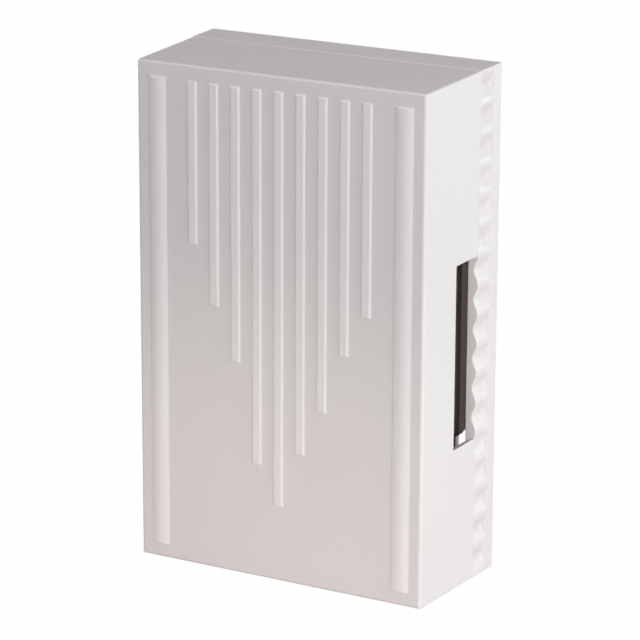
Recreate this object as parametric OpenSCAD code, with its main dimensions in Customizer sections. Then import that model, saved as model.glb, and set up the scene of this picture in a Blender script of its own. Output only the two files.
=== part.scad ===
// Two-tone doorbell chime box for a wall: a white moulded case with a solenoid,
// two steel tone bars and a wiring terminal.
// Origin: middle of the rear face. X to the right, Y into the wall, Z up.
// Depths are measured from the wall towards the room, so depth d lies at y = -d.

/* [Case] */
// Width of the case at the wall
case_w = 82; // [80:0.5:92]
// Height of the case at the wall
case_h = 131; // [128:1:145]
// Depth from the wall to the flat front
case_d = 38; // [36:0.5:44]
// Moulding draft of the outer walls, in degrees
draft = 1.4; // [0.5:0.1:2]
// Radius on the front edges
edge_r = 0.8; // [0.4:0.1:1.2]

/* [Front cover] */
// Wall of the cover's sides
cover_wall = 2.2; // [1.6:0.1:2.6]
// Wall of the cover's front
cover_front = 2.2; // [1.6:0.1:3]
// Gap between the cover and the base at the parting line
parting_gap = 0.15; // [0.1:0.05:0.3]
// Upper end of the sound slots
slot_top = 19; // [10:1:30]
// Lower end of the sound slots
slot_bottom = -28; // [-34:1:-10]
// Depth of the sound slots, forward of the parting line
slot_d = 11; // [7:0.5:14]

/* [Front ribs] */
// Spacing of the narrow ribs
rib_pitch = 6.08; // [5:0.02:6.5]
// Width of a narrow rib at its foot
rib_foot = 2.8; // [2.2:0.1:3.6]
// Width of a narrow rib's flat crest
rib_crest = 2; // [0.6:0.1:2]
// Height of a narrow rib
rib_h = 0.4; // [0.2:0.05:0.8]
// Run of the slope at a narrow rib's ends
rib_end = 0.4; // [0.2:0.1:1]
// Space above the narrow ribs, to the front's upper edge
rib_margin = 3.7; // [2:0.1:6]
// Width of the two rounded edge ribs
edge_rib_w = 4.7; // [3:0.1:6]
// Height of the rounded edge ribs
edge_rib_h = 0.6; // [0.4:0.05:1.2]
// Middle of an edge rib, in from the front's side edge
edge_rib_in = 5.8; // [4:0.1:7]
// Space beyond an edge rib's ends, to the front's edge
edge_rib_margin = 3.6; // [2:0.1:8]

/* [Rear base] */
// Depth of the base tray
base_d = 10.5; // [9:0.5:12]
// Floor of the base tray
base_floor = 2.2; // [1.8:0.1:3]
// Side wall of the base tray, at the crests of the flutes
base_side_wall = 2.8; // [2.4:0.1:3.2]
// Top and bottom wall of the base tray
base_end_wall = 2.2; // [1.8:0.1:3]
// Spacing of the side flutes
flute_pitch = 7.6; // [6:0.1:9]
// Depth of the side flutes
flute_depth = 1.2; // [0.6:0.1:1.4]
// Plain strip behind the side flutes
flute_rear = 4.2; // [3:0.1:6]
// Width of each snap tongue
tongue_w = 14; // [8:1:20]
// Thickness of each snap tongue
tongue_t = 1.6; // [1.2:0.1:2]
// Reach of each snap tongue past the parting line
tongue_reach = 5; // [4:0.5:7]
// Middle of each snap tongue, out from the centre line
tongue_x = 20; // [12:1:24]
// Clearance between a snap tongue and the cover
tongue_gap = 0.4; // [0.3:0.05:0.6]
// Radius of the snap bead
bead_r = 0.3; // [0.2:0.05:0.35]
// Distance from the parting line to the snap bead
bead_reach = 3.5; // [2.5:0.25:3.75]

/* [Wall fixing] */
// Height of the middle of the two wall slots
wall_slot_z = 15; // [13:0.5:18]
// Distance between the two wall slots
wall_slot_spacing = 70; // [66:1:76]
// Width of a wall slot
wall_slot_w = 4.5; // [3.5:0.1:5.5]
// Length of a wall slot, end to end
wall_slot_len = 8; // [6:0.5:10]
// Height of the cable entry above the case's lower end
cable_up = 11.5; // [9.5:0.5:12.5]
// Radius of the cable entry
cable_r = 5; // [3:0.5:6]

/* [Tone bars] */
// Height of the strike line, at the middle of both bars
strike_z = 11; // [8:0.5:13]
// Length of the high tone bar
high_bar_len = 80; // [74:1:86]
// Length of the low tone bar
low_bar_len = 90; // [84:1:94]
// Width of the tone bars
bar_w = 24.3; // [20:0.1:25]
// Distance from the strike line back to the middle of a tone bar's width
bar_back = 0.65; // [0:0.05:1]
// Thickness of the tone bars
bar_t = 3; // [2:0.25:3.5]
// Space between a tone bar and the cover's side
bar_side_gap = 3.4; // [3:0.1:4]
// Corner radius of the tone bars
bar_corner = 1.5; // [0.5:0.1:3]
// Radius of the grommet holes in the tone bars
bar_hole_r = 3; // [2.4:0.1:3.6]
// Radius of a grommet's flange
grommet_r = 4.5; // [4:0.1:5]
// Thickness of a grommet's flange
grommet_flange = 1; // [0.6:0.1:1.2]
// Radius of the pegs that carry the bars
peg_r = 1.6; // [1.2:0.1:1.8]
// Thickness of a grommet clip
clip_t = 0.8; // [0.5:0.1:0.9]
// Radius of a grommet clip
clip_r = 3.2; // [2.6:0.1:3.8]
// Reach of a peg past its clip
peg_past = 0.6; // [0.3:0.1:0.8]
// Thickness of a bar pillar
pillar_t = 4; // [3:0.25:4.5]
// Width of a bar pillar
pillar_w = 8; // [6:0.5:9]
// Reach of a bar pillar beyond the peg's middle
pillar_over = 4.5; // [3:0.25:6]
// Height of the sound window in the floor below each bar
window_h = 6; // [4:0.5:7]
// Width of a sound window beyond the bar's thickness, on each side
window_over = 0.9; // [0.5:0.1:1.2]
// Space between a bar's end and its window
window_gap = 0.6; // [0.2:0.1:1]

/* [Solenoid] */
// Length of the coil bobbin
coil_len = 28; // [24:0.5:30]
// Radius of the bobbin's flanges
flange_r = 10.8; // [9.6:0.1:11.2]
// Thickness of the bobbin's flanges
flange_t = 1.5; // [1:0.1:2]
// Wall of the bobbin's tube
bobbin_wall = 0.9; // [0.6:0.1:1.2]
// Radial build of the winding
winding_build = 4.3; // [3:0.1:4.4]
// Thickness of the tape over the winding
tape_t = 0.25; // [0.15:0.05:0.4]
// Width of the tape over the winding
tape_w = 19; // [14:0.5:20]
// Drop of the lead lugs below the bobbin's flanges
lug_h = 2.5; // [1.5:0.1:3]
// Depth of the lead lugs
lug_d = 13; // [12:0.5:15]
// Wall of the guide tube
tube_wall = 0.45; // [0.3:0.05:0.7]
// Thickness of the steel yoke
yoke_t = 1.5; // [1:0.1:2]
// Width of the steel yoke
yoke_w = 18; // [14:0.5:20]
// Reach of the yoke's cheeks beyond the strike line
cheek_over = 8.5; // [6:0.25:10]
// Width of the yoke's fixing tabs
tab_w = 9; // [8:0.25:11]
// Distance from the strike line to the yoke's screws
yoke_screw_z = 14.5; // [14:0.25:15.5]
// Height of the yoke's seat above the base floor
seat_h = 2.8; // [2.4:0.1:4]

/* [Plunger] */
// Radius of the steel plunger
core_r = 3.6; // [3:0.1:4]
// End of the steel plunger, right of the coil's middle
core_right = 5; // [0:0.5:8]
// Rest gap between the low striker and its tone bar
low_gap = 2.5; // [2:0.1:3]
// Rest gap between the high striker and its tone bar
high_gap = 6; // [5:0.1:6.5]
// Radius of the low striker
low_striker_r = 5.4; // [5.2:0.1:6]
// Length of the low striker
low_striker_len = 3; // [2.4:0.1:3.5]
// Crown of the low striker's domed face
low_striker_crown = 0.9; // [0.4:0.1:1.2]
// Length of the plunger's stud in the low striker
stud_len = 1.8; // [1:0.1:1.9]
// Radius of the high striker
high_striker_r = 2; // [1.6:0.1:2.6]
// Radius of the pressed joints between core and strikers
shank_r = 1.5; // [1.2:0.1:1.5]
// Depth of the pressed joint on the high striker
shank_len = 5; // [3:0.5:7]
// Radius of the return spring, to the middle of its wire
spring_r = 4.6; // [4.5:0.05:4.8]
// Radius of the spring wire
wire_r = 0.3; // [0.2:0.05:0.35]
// Number of curls of the spring
spring_curls = 5; // [4:1:6]
// Thickness of the spring washer
washer_t = 0.6; // [0.4:0.1:1]
// Radius of the spring washer
washer_r = 5.5; // [5.2:0.1:6.5]

/* [Terminal] */
// Width of the terminal block
term_w = 22; // [20:0.5:26]
// Height of the terminal block
term_h = 12; // [10:0.5:12]
// Depth of the terminal block's body
term_body_d = 7.6; // [6.8:0.1:9]
// Depth of the terminal block's towers
term_tower_d = 11; // [10.5:0.1:13]
// Radius of the terminal block's towers
term_tower_r = 3.6; // [3.2:0.1:4]
// Height of the terminal block's middle above the case's lower end
term_up = 25.5; // [23.5:0.5:26.5]
// Distance from the centre line to a terminal
term_x = 6; // [5.5:0.1:6.5]
// Height of the terminal block's seat above the base floor
term_seat_h = 2; // [1:0.1:3]
// Radius of a brass clamp
clamp_r = 2.4; // [2.2:0.1:2.5]
// Length of a brass clamp
clamp_len = 10; // [8:0.5:10]
// Radius of a clamp's wire bore
clamp_bore = 1; // [0.9:0.05:1.2]
// Height of a clamp's middle above the block's seat
clamp_up = 4.5; // [4:0.1:5]
// Radius of the terminal screws' heads
term_screw_r = 1.9; // [1.6:0.1:2.1]
// Radius of the coil leads
lead_r = 0.7; // [0.5:0.05:0.8]
// Reach of a coil lead into its clamp
lead_in = 3.5; // [2:0.25:3.7]

/* [Screws] */
// Radius of the yoke and block screws' heads
screw_head_r = 2.4; // [2:0.1:2.6]
// Height of the screw heads
screw_head_h = 1.6; // [1.2:0.1:2]
// Radius of the screw shanks
screw_r = 1.15; // [0.9:0.05:1.2]
// Width of the slots in the screw heads
driver_slot_w = 0.6; // [0.4:0.05:0.8]

/* [Hidden] */
$fn = 48;

// Length of each narrow rib, from left to right
rib_len = [41.5, 56.5, 70.1, 95.8, 105.8, 91.3, 79.3, 63.9, 53.3];
// A free bar does not move at this share of its length from each end
nodal_share = 0.224;
// Radial clearance of the sliding plunger
slide_gap = 0.05;
// Clearance between pieces that are assembled
fit_gap = 0.05;
// Clearance between pieces that only pass each other
pass_gap = 0.2;
// Overlap of features that grow out of one moulding
sink = 0.3;
// Overrun of a cut past a face
past = 1;
// Steps of a rounded edge
edge_steps = 8;
// Inset of the flute crests from the wall's surface
crest_inset = 0.02;
// Thickness left behind a blind screw hole
blind_wall = 0.8;
// Depth of the slots in the screw heads
driver_slot_d = 0.7;
// Sides of a swept wire, rings on a spring curl and rings on a lead's bend
wire_sides = 6;
curl_rings = 8;
lead_sides = 8;
lead_rings = 16;
// Straight runs at a lead's upper and lower end, and the reach of its bend
lead_top_run = 3;
lead_low_run = 6;
lead_reach = 12;

white = "#eee6e4";
dark_steel = "#4a4340";
steel = "#a9a9a6";
nylon = "#f2efe2";
rubber = "#2b2a2a";
copper = "#b4713d";
brass = "#c7a24e";
tape = "#e3c34a";
lead_red = "#a8322c";

function half_w(d) = case_w / 2 - d * tan(draft);
function half_h(d) = case_h / 2 - d * tan(draft);

// Depth of the strike line, in front of the yoke's seat
seat_d = base_floor + seat_h;
axis_d = seat_d + yoke_t + pass_gap + flange_r;

// Tone bars, measured out from the centre line
bar_out = half_w(axis_d) - cover_wall - bar_side_gap;
bar_in = bar_out - bar_t;
pillar_out = bar_in - grommet_flange - 2 * fit_gap;
clip_in = bar_out + grommet_flange + 2 * fit_gap;
peg_end = clip_in + clip_t + peg_past;

// Solenoid, measured out from the coil's middle
tube_in = core_r + slide_gap;
tube_out = tube_in + tube_wall;
bobbin_in = tube_out + fit_gap;
bobbin_out = bobbin_in + bobbin_wall;
winding_in = bobbin_out + fit_gap;
winding_out = winding_in + winding_build;
wound_half = coil_len / 2 - flange_t - fit_gap;
cheek_in = coil_len / 2 + fit_gap;
cheek_out = cheek_in + yoke_t;
lug_end = strike_z - flange_r - lug_h;

// Plunger, with its shoulder against the low striker
shoulder_x = -bar_in + low_gap + low_striker_len;
high_tip_x = bar_in - high_gap;
washer_out = cheek_out + fit_gap + washer_t;

// Cable entry and terminal, measured up from the case's lower end
cable_z = -case_h / 2 + cable_up;
term_z = -case_h / 2 + term_up;
term_seat_d = base_floor + term_seat_h;
term_body_front = term_seat_d + term_body_d;
term_front = term_seat_d + term_tower_d;
clamp_d = term_seat_d + clamp_up;
clamp_top = term_z + clamp_len / 2;

// Block between two depths
module block(x0, x1, d0, d1, z0, z1) {
    translate([x0, -d1, z0]) cube([x1 - x0, d1 - d0, z1 - z0]);
}

// Round bar along X, at depth d and height z
module bar_x(r, x0, x1, d = axis_d, z = strike_z) {
    translate([x0, -d, z]) rotate([0, 90, 0]) cylinder(r = r, h = x1 - x0);
}

// Round bar towards the room, between two depths
module bar_y(r, x, z, d0, d1) {
    translate([x, -d0, z]) rotate([90, 0, 0]) cylinder(r = r, h = d1 - d0);
}

// Round bar along Z
module bar_z(r, x, d, z0, z1) {
    translate([x, -d, z0]) cylinder(r = r, h = z1 - z0);
}

// Turned piece about a line along X; points are radius and x
module turned_x(points, d = axis_d, z = strike_z) {
    translate([0, -d, z]) rotate([0, 90, 0]) rotate_extrude() polygon(points);
}

// Flat piece facing the room, between two depths, from an outline in X and Z
module plate_y(d0, d1) {
    translate([0, -d0, 0]) rotate([90, 0, 0]) linear_extrude(d1 - d0) children();
}

// Flat piece facing sideways, from x0, from an outline in Y and Z
module plate_x(x0, t) {
    translate([x0, 0, 0]) rotate([90, 0, 90]) linear_extrude(t) children();
}

module round_rect(w, h, r) {
    square([w - 2 * r, h], center = true);
    square([w, h - 2 * r], center = true);
    for (x = [-1, 1], y = [-1, 1])
        translate([x * (w / 2 - r), y * (h / 2 - r)]) circle(r);
}

// Copy on the other side of the centre line when side is negative
module on_side(side) {
    mirror([side < 0 ? 1 : 0, 0, 0]) children();
}

// Section of a drafted wall pair between two depths, with rounded front corners
module drafted_section(half, d0, d1, r) {
    rear = half - d0 * tan(draft);
    front = half - (d1 - r) * tan(draft);
    arc = [for (i = [0:edge_steps]) let (a = -90 + 90 * i / edge_steps)
        [front - r + r * cos(a), -d1 + r + r * sin(a)]];
    right = r > 0 ? arc : [[front, -d1]];
    left = [for (i = [len(right) - 1:-1:0]) [-right[i][0], right[i][1]]];
    polygon(concat(left, right, [[rear, -d0], [-rear, -d0]]));
}

// Block of the case's outline, set in from its outside, between two depths
module drafted_block(inset, d0, d1, r = 0) {
    intersection() {
        linear_extrude(case_h + 2, center = true)
            drafted_section(case_w / 2 - inset, d0, d1, r);
        rotate([0, -90, 0]) linear_extrude(case_w + 2, center = true)
            drafted_section(case_h / 2 - inset, d0, d1, r);
    }
}

// Narrow rib on the front, sloped on all four sides, from its lower end upwards
module narrow_rib(length) {
    intersection() {
        linear_extrude(length) polygon([
            [-rib_foot / 2, sink], [rib_foot / 2, sink], [rib_foot / 2, 0],
            [rib_crest / 2, -rib_h], [-rib_crest / 2, -rib_h], [-rib_foot / 2, 0]
        ]);
        plate_x(-rib_foot / 2 - past, rib_foot + 2 * past) polygon([
            [sink, 0], [sink, length], [0, length],
            [-rib_h, length - rib_end], [-rib_h, rib_end], [0, 0]
        ]);
    }
}

// Rounded rib near the front's side edge
module edge_rib(length) {
    r = pow(edge_rib_w, 2) / (8 * edge_rib_h) + edge_rib_h / 2;
    linear_extrude(length, center = true) intersection() {
        translate([0, r - edge_rib_h]) circle(r, $fn = 96);
        translate([-edge_rib_w / 2, -edge_rib_h - past])
            square([edge_rib_w, edge_rib_h + past + sink]);
    }
}

module front_relief() {
    top = half_h(case_d) - rib_margin;
    last = len(rib_len) - 1;
    for (i = [0:last])
        translate([(i - last / 2) * rib_pitch, -case_d, top - rib_len[i]]) narrow_rib(rib_len[i]);
    for (side = [-1, 1])
        translate([side * (half_w(case_d) - edge_rib_in), -case_d, 0])
            edge_rib(2 * (half_h(case_d) - edge_rib_margin));
}

// Depth of the snap beads and the cover's inside there
bead_d = base_d + bead_reach;
tongue_out = half_h(base_d + tongue_reach) - cover_wall - tongue_gap;

module front_cover() {
    color(white) difference() {
        union() {
            drafted_block(0, base_d + parting_gap, case_d, edge_r);
            front_relief();
        }
        drafted_block(cover_wall, base_d - past, case_d - cover_front);
        for (side = [-1, 1]) on_side(side)
            block(half_w(base_d + slot_d) - cover_wall - past, case_w / 2 + past,
                base_d - past, base_d + slot_d, slot_bottom, slot_top);
        for (end = [-1, 1], side = [-1, 1])
            bar_x(bead_r + pass_gap, side * tongue_x - tongue_w / 2 - past,
                side * tongue_x + tongue_w / 2 + past, bead_d,
                end * (half_h(bead_d) - cover_wall));
    }
}

// Cut that leaves a row of round reeds on the base's right side
module flute_cut() {
    reed_r = pow(flute_pitch, 2) / (8 * flute_depth) + flute_depth / 2;
    reeds = ceil(case_h / flute_pitch / 2);
    translate([half_w(flute_rear), -flute_rear, 0]) rotate([90, 0, -draft])
        linear_extrude(base_d) difference() {
            translate([-flute_depth, -case_h / 2 - past])
                square([flute_depth + past, case_h + 2 * past]);
            for (i = [-reeds:reeds - 1])
                translate([-reed_r - crest_inset, (i + 0.5) * flute_pitch])
                    circle(reed_r, $fn = 96);
        }
}

// Shallow tray of the base, with fluted sides
module tray() {
    in_w = half_w(base_d) - base_side_wall;
    in_h = half_h(base_d) - base_end_wall;
    difference() {
        drafted_block(0, 0, base_d);
        block(-in_w, in_w, base_floor, base_d + past, -in_h, in_h);
        for (side = [-1, 1]) on_side(side) flute_cut();
    }
}

// Snap tongue inside the upper edge of the cover
module snap_tongue() {
    root = half_h(base_d) - base_end_wall + sink;
    x0 = tongue_x - tongue_w / 2;
    x1 = tongue_x + tongue_w / 2;
    block(x0, x1, base_floor - sink, base_d, tongue_out - tongue_t, root);
    block(x0, x1, base_d - sink, base_d + tongue_reach, tongue_out - tongue_t, tongue_out);
    bar_x(bead_r, x0, x1, bead_d, tongue_out);
}

// Pillar with its gusset and peg, at one nodal point of the right bar
module bar_pillar(z) {
    front = axis_d + pillar_over;
    block(pillar_out - pillar_t, pillar_out, base_floor - sink, front,
        z - pillar_w / 2, z + pillar_w / 2);
    translate([pillar_out - pillar_t + sink, 0, z]) linear_extrude(pillar_t / 2, center = true)
        polygon([[0, -base_floor + sink], [-pillar_w, -base_floor + sink],
            [-pillar_w, -base_floor], [0, -axis_d]]);
    bar_x(peg_r, pillar_out - sink, peg_end, axis_d, z);
}

// Seats of the right-hand bar: two pillars
module bar_seat(bar_len) {
    nodal = bar_len * (0.5 - nodal_share);
    for (end = [-1, 1]) bar_pillar(strike_z + end * nodal);
}

// Window through the floor beyond the lower end of the right-hand bar
module sound_window(bar_len) {
    top = strike_z - bar_len / 2 - window_gap;
    block(bar_in - window_over, bar_out + window_over, -past, base_floor + past, top - window_h, top);
}

// Seat of the solenoid: two screw bosses and two ribs under the yoke
module solenoid_seat() {
    for (end = [-1, 1])
        bar_y(tab_w / 2 - fit_gap, 0, strike_z + end * yoke_screw_z, base_floor - sink, seat_d);
    for (side = [-1, 1]) on_side(side)
        block(coil_len / 2 - 2 * yoke_t, coil_len / 2, base_floor - sink, seat_d,
            strike_z - yoke_w / 2, strike_z + yoke_w / 2);
}

module terminal_seat() {
    block(-term_w / 2, term_w / 2, base_floor - sink, term_seat_d,
        term_z - term_h / 2, term_z + term_h / 2);
}

// Wall slot, its length along Z
module wall_slot(z) {
    r = wall_slot_w / 2;
    run = wall_slot_len / 2 - r;
    for (end = [-1, 1]) bar_y(r, 0, z + end * run, -past, base_floor + past);
    block(-r, r, -past, base_floor + past, z - run, z + run);
}

module rear_base() {
    color(white) difference() {
        union() {
            tray();
            for (side = [-1, 1]) on_side(side) {
                snap_tongue();
                mirror([0, 0, 1]) snap_tongue();
            }
            bar_seat(high_bar_len);
            on_side(-1) bar_seat(low_bar_len);
            solenoid_seat();
            terminal_seat();
        }
        for (end = [-1, 1]) {
            wall_slot(wall_slot_z + end * wall_slot_spacing / 2);
            bar_y(screw_r + fit_gap, 0, strike_z + end * yoke_screw_z, blind_wall, seat_d + past);
        }
        sound_window(high_bar_len);
        on_side(-1) sound_window(low_bar_len);
        bar_y(screw_r + fit_gap, 0, term_z, blind_wall, term_seat_d + past);
        bar_y(cable_r, 0, cable_z, -past, base_floor + past);
    }
}

// Steel tone bar on the right, drilled at its nodal points
module tone_bar(bar_len) {
    nodal = bar_len * (0.5 - nodal_share);
    plate_x(bar_in, bar_t) translate([-axis_d, strike_z]) difference() {
        translate([bar_back, 0]) round_rect(bar_w, bar_len, bar_corner);
        for (end = [-1, 1]) translate([0, end * nodal]) circle(bar_hole_r);
    }
}

module high_tone_bar() {
    color(dark_steel) tone_bar(high_bar_len);
}

module low_tone_bar() {
    color(dark_steel) on_side(-1) tone_bar(low_bar_len);
}

// One copy at each nodal point of both bars
module at_nodal_points() {
    for (end = [-1, 1]) {
        translate([0, 0, end * high_bar_len * (0.5 - nodal_share)]) children();
        translate([0, 0, end * low_bar_len * (0.5 - nodal_share)]) on_side(-1) children();
    }
}

module bar_grommets() {
    inner = peg_r + fit_gap;
    neck = bar_hole_r - fit_gap;
    x0 = bar_in - fit_gap;
    x1 = bar_out + fit_gap;
    color(rubber) at_nodal_points() turned_x([
        [inner, x0 - grommet_flange], [grommet_r, x0 - grommet_flange], [grommet_r, x0],
        [neck, x0], [neck, x1], [grommet_r, x1],
        [grommet_r, x1 + grommet_flange], [inner, x1 + grommet_flange]
    ]);
}

module grommet_clips() {
    inner = peg_r + fit_gap;
    color(steel) at_nodal_points() turned_x([
        [inner, clip_in], [clip_r, clip_in], [clip_r, clip_in + clip_t], [inner, clip_in + clip_t]
    ]);
}

module coil_bobbin() {
    end = coil_len / 2;
    cheek = end - flange_t;
    color(nylon) difference() {
        union() {
            bar_x(bobbin_out, -end, end);
            for (side = [-1, 1]) on_side(side) {
                bar_x(flange_r, cheek, end);
                block(cheek, end, lug_d - flange_t, lug_d + flange_t, lug_end, strike_z - flange_r / 2);
            }
        }
        bar_x(bobbin_in, -end - past, end + past);
    }
}

// Sleeve about the strike line
module sleeve(inner, outer, half) {
    turned_x([[inner, -half], [outer, -half], [outer, half], [inner, half]]);
}

module coil_winding() {
    color(copper) sleeve(winding_in, winding_out, wound_half);
}

module coil_tape() {
    color(tape) sleeve(winding_out + fit_gap, winding_out + fit_gap + tape_t, tape_w / 2);
}

module guide_tube() {
    color(brass) sleeve(tube_in, tube_out, cheek_out);
}

module solenoid_yoke() {
    tab_len = 2 * yoke_screw_z + tab_w;
    color(steel) difference() {
        union() {
            block(-cheek_out, cheek_out, seat_d, seat_d + yoke_t,
                strike_z - yoke_w / 2, strike_z + yoke_w / 2);
            plate_y(seat_d, seat_d + yoke_t) translate([0, strike_z])
                round_rect(tab_w, tab_len, tab_w / 2 - fit_gap);
            for (side = [-1, 1]) on_side(side) {
                block(cheek_in, cheek_out, seat_d, axis_d,
                    strike_z - yoke_w / 2, strike_z + yoke_w / 2);
                plate_x(cheek_in, yoke_t) translate([-axis_d, strike_z])
                    round_rect(2 * cheek_over, yoke_w, yoke_w / 4);
            }
        }
        bar_x(tube_out + fit_gap, -cheek_out - past, cheek_out + past);
        for (end = [-1, 1])
            bar_y(screw_r + pass_gap, 0, strike_z + end * yoke_screw_z,
                seat_d - past, seat_d + yoke_t + past);
    }
}

// Slotted screw driven towards the wall, with its head seated at depth d
module slotted_screw(x, z, d, tip_d, head_r, head_h) {
    difference() {
        union() {
            bar_y(head_r, x, z, d, d + head_h);
            bar_y(screw_r, x, z, tip_d, d + sink);
        }
        block(x - head_r - past, x + head_r + past, d + head_h - driver_slot_d, d + head_h + past,
            z - driver_slot_w / 2, z + driver_slot_w / 2);
    }
}

module yoke_screws() {
    color(steel) for (end = [-1, 1])
        slotted_screw(0, strike_z + end * yoke_screw_z, seat_d + yoke_t, blind_wall + sink,
            screw_head_r, screw_head_h);
}

module plunger_core() {
    color(steel) difference() {
        turned_x([
            [0, shoulder_x - stud_len], [shank_r, shoulder_x - stud_len], [shank_r, shoulder_x],
            [core_r, shoulder_x], [core_r, core_right], [0, core_right]
        ]);
        bar_x(shank_r + fit_gap, core_right - shank_len - fit_gap, core_right + past);
    }
}

// Nylon cap with a domed striking face
module low_striker() {
    face = shoulder_x - low_striker_len;
    dome_r = (pow(low_striker_r, 2) + pow(low_striker_crown, 2)) / (2 * low_striker_crown);
    color(nylon) difference() {
        intersection() {
            bar_x(low_striker_r, face, shoulder_x);
            translate([face + dome_r, -axis_d, strike_z]) rotate([0, 90, 0])
                sphere(dome_r, $fn = 96);
        }
        bar_x(shank_r + fit_gap, shoulder_x - stud_len - fit_gap, shoulder_x + past);
    }
}

// Nylon rod with a round tip
module high_striker() {
    tip = high_tip_x - high_striker_r;
    arc = [for (i = [0:edge_steps]) let (a = 90 * i / edge_steps)
        [high_striker_r * cos(a), tip + high_striker_r * sin(a)]];
    color(nylon) turned_x(concat(
        [[0, core_right - shank_len], [shank_r, core_right - shank_len], [shank_r, core_right],
            [high_striker_r, core_right]],
        arc
    ));
}

function unit(v) = v / norm(v);

// Direction of a path at each of its points
function heading(path, i) = unit(path[min(i + 1, len(path) - 1)] - path[max(i - 1, 0)]);

// Round tube along a path; each point's aim fixes where its ring starts
module swept_tube(path, aims, r, sides) {
    rings = len(path);
    points = [for (i = [0:rings - 1])
        let (t = heading(path, i), u = unit(aims[i] - (aims[i] * t) * t), v = cross(t, u))
        for (k = [0:sides - 1]) let (a = 360 * k / sides)
            path[i] + r * cos(a) * u + r * sin(a) * v];
    skin = [for (i = [0:rings - 2], k = [0:sides - 1])
        let (a = i * sides + k, b = i * sides + (k + 1) % sides)
        each [[a, a + sides, b], [b, a + sides, b + sides]]];
    caps = [for (k = [1:sides - 2])
        each [[0, k, k + 1], [(rings - 1) * sides, (rings - 1) * sides + k + 1, (rings - 1) * sides + k]]];
    polyhedron(points, concat(skin, caps));
}

// Spring from the low striker to its washer, with straight ends
spring_start = shoulder_x + wire_r + fit_gap;
spring_end = -washer_out - wire_r - fit_gap;
spring_steps = spring_curls * curl_rings;
function spring_aim(i) = let (a = 360 * i / curl_rings) [0, cos(a), sin(a)];
function spring_point(i) = [
    spring_start + (spring_end - spring_start) * i / spring_steps, -axis_d, strike_z
] + spring_r * spring_aim(i);
function spring_tail(i, way) = spring_point(i) + way * 2 * wire_r * cross([1, 0, 0], spring_aim(i));
spring_path = concat(
    [spring_tail(0, -1)], [for (i = [0:spring_steps]) spring_point(i)], [spring_tail(spring_steps, 1)]
);
spring_aims = concat(
    [spring_aim(0)], [for (i = [0:spring_steps]) spring_aim(i)], [spring_aim(spring_steps)]
);
spring_gap = min([for (i = [0:spring_steps - curl_rings / 2 - 1], j = [i + curl_rings / 2 + 1:spring_steps])
    norm(spring_point(i) - spring_point(j))]) - 2 * wire_r;
echo(least_spring_gap = spring_gap);

module return_spring() {
    color(steel) swept_tube(spring_path, spring_aims, wire_r, wire_sides);
}

module spring_washer() {
    color(nylon) turned_x([
        [core_r + pass_gap, -washer_out], [washer_r, -washer_out],
        [washer_r, -cheek_out - fit_gap], [core_r + pass_gap, -cheek_out - fit_gap]
    ]);
}

// Moulded block with two towers over its brass clamps
module terminal_block() {
    color(nylon) difference() {
        union() {
            plate_y(term_seat_d, term_body_front) translate([0, term_z])
                round_rect(term_w, term_h, term_tower_r / 2);
            for (side = [-1, 1]) bar_y(term_tower_r, side * term_x, term_z, term_seat_d, term_front);
        }
        for (side = [-1, 1]) {
            bar_z(clamp_r + fit_gap, side * term_x, clamp_d, term_z - term_h, term_z + term_h);
            bar_y(term_screw_r + pass_gap, side * term_x, term_z, clamp_d, term_front + past);
        }
        bar_y(screw_r + 2 * fit_gap, 0, term_z, term_seat_d - past, term_front);
    }
}

// Brass clamp with a wire bore and a tapped cross hole
module terminal_clamps() {
    color(brass) for (side = [-1, 1]) difference() {
        bar_z(clamp_r, side * term_x, clamp_d, term_z - clamp_len / 2, clamp_top);
        bar_z(clamp_bore, side * term_x, clamp_d, term_z - clamp_len, term_z + clamp_len);
        bar_y(screw_r + fit_gap, side * term_x, term_z, clamp_d, clamp_d + 2 * clamp_r);
    }
}

module terminal_screws() {
    color(steel) for (side = [-1, 1])
        slotted_screw(side * term_x, term_z, clamp_d + clamp_r + sink, clamp_d + clamp_bore + sink,
            term_screw_r, screw_head_h);
}

module terminal_block_screw() {
    color(steel) slotted_screw(0, term_z, term_body_front, blind_wall + sink,
        screw_head_r, screw_head_h);
}

function bezier(a, b, c, d, t) =
    pow(1 - t, 3) * a + 3 * t * pow(1 - t, 2) * b + 3 * t * t * (1 - t) * c + pow(t, 3) * d;

// Lead from a lug on the bobbin down into its clamp
function lead_path(side) = let (
    top = [side * (coil_len / 2 - flange_t / 2), -lug_d, lug_end - fit_gap],
    low = [side * term_x, -clamp_d, clamp_top - lead_in],
    bend_top = top - [0, 0, lead_top_run],
    bend_low = low + [0, 0, lead_low_run],
    reach = [0, 0, lead_reach]
) concat(
    [top],
    [for (i = [0:lead_rings]) bezier(bend_top, bend_top - reach, bend_low + reach, bend_low, i / lead_rings)],
    [low]
);

module coil_lead(side) {
    path = lead_path(side);
    swept_tube(path, [for (p = path) [0, 1, 0]], lead_r, lead_sides);
}

module coil_lead_left() {
    color(lead_red) coil_lead(-1);
}

module coil_lead_right() {
    color(lead_red) coil_lead(1);
}

front_cover();
rear_base();
high_tone_bar();
low_tone_bar();
bar_grommets();
grommet_clips();
coil_bobbin();
coil_winding();
coil_tape();
solenoid_yoke();
yoke_screws();
guide_tube();
plunger_core();
low_striker();
high_striker();
return_spring();
spring_washer();
terminal_block();
terminal_clamps();
terminal_screws();
terminal_block_screw();
coil_lead_left();
coil_lead_right();
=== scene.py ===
import math

import bmesh
import bpy
from mathutils import Matrix, Vector


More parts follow.
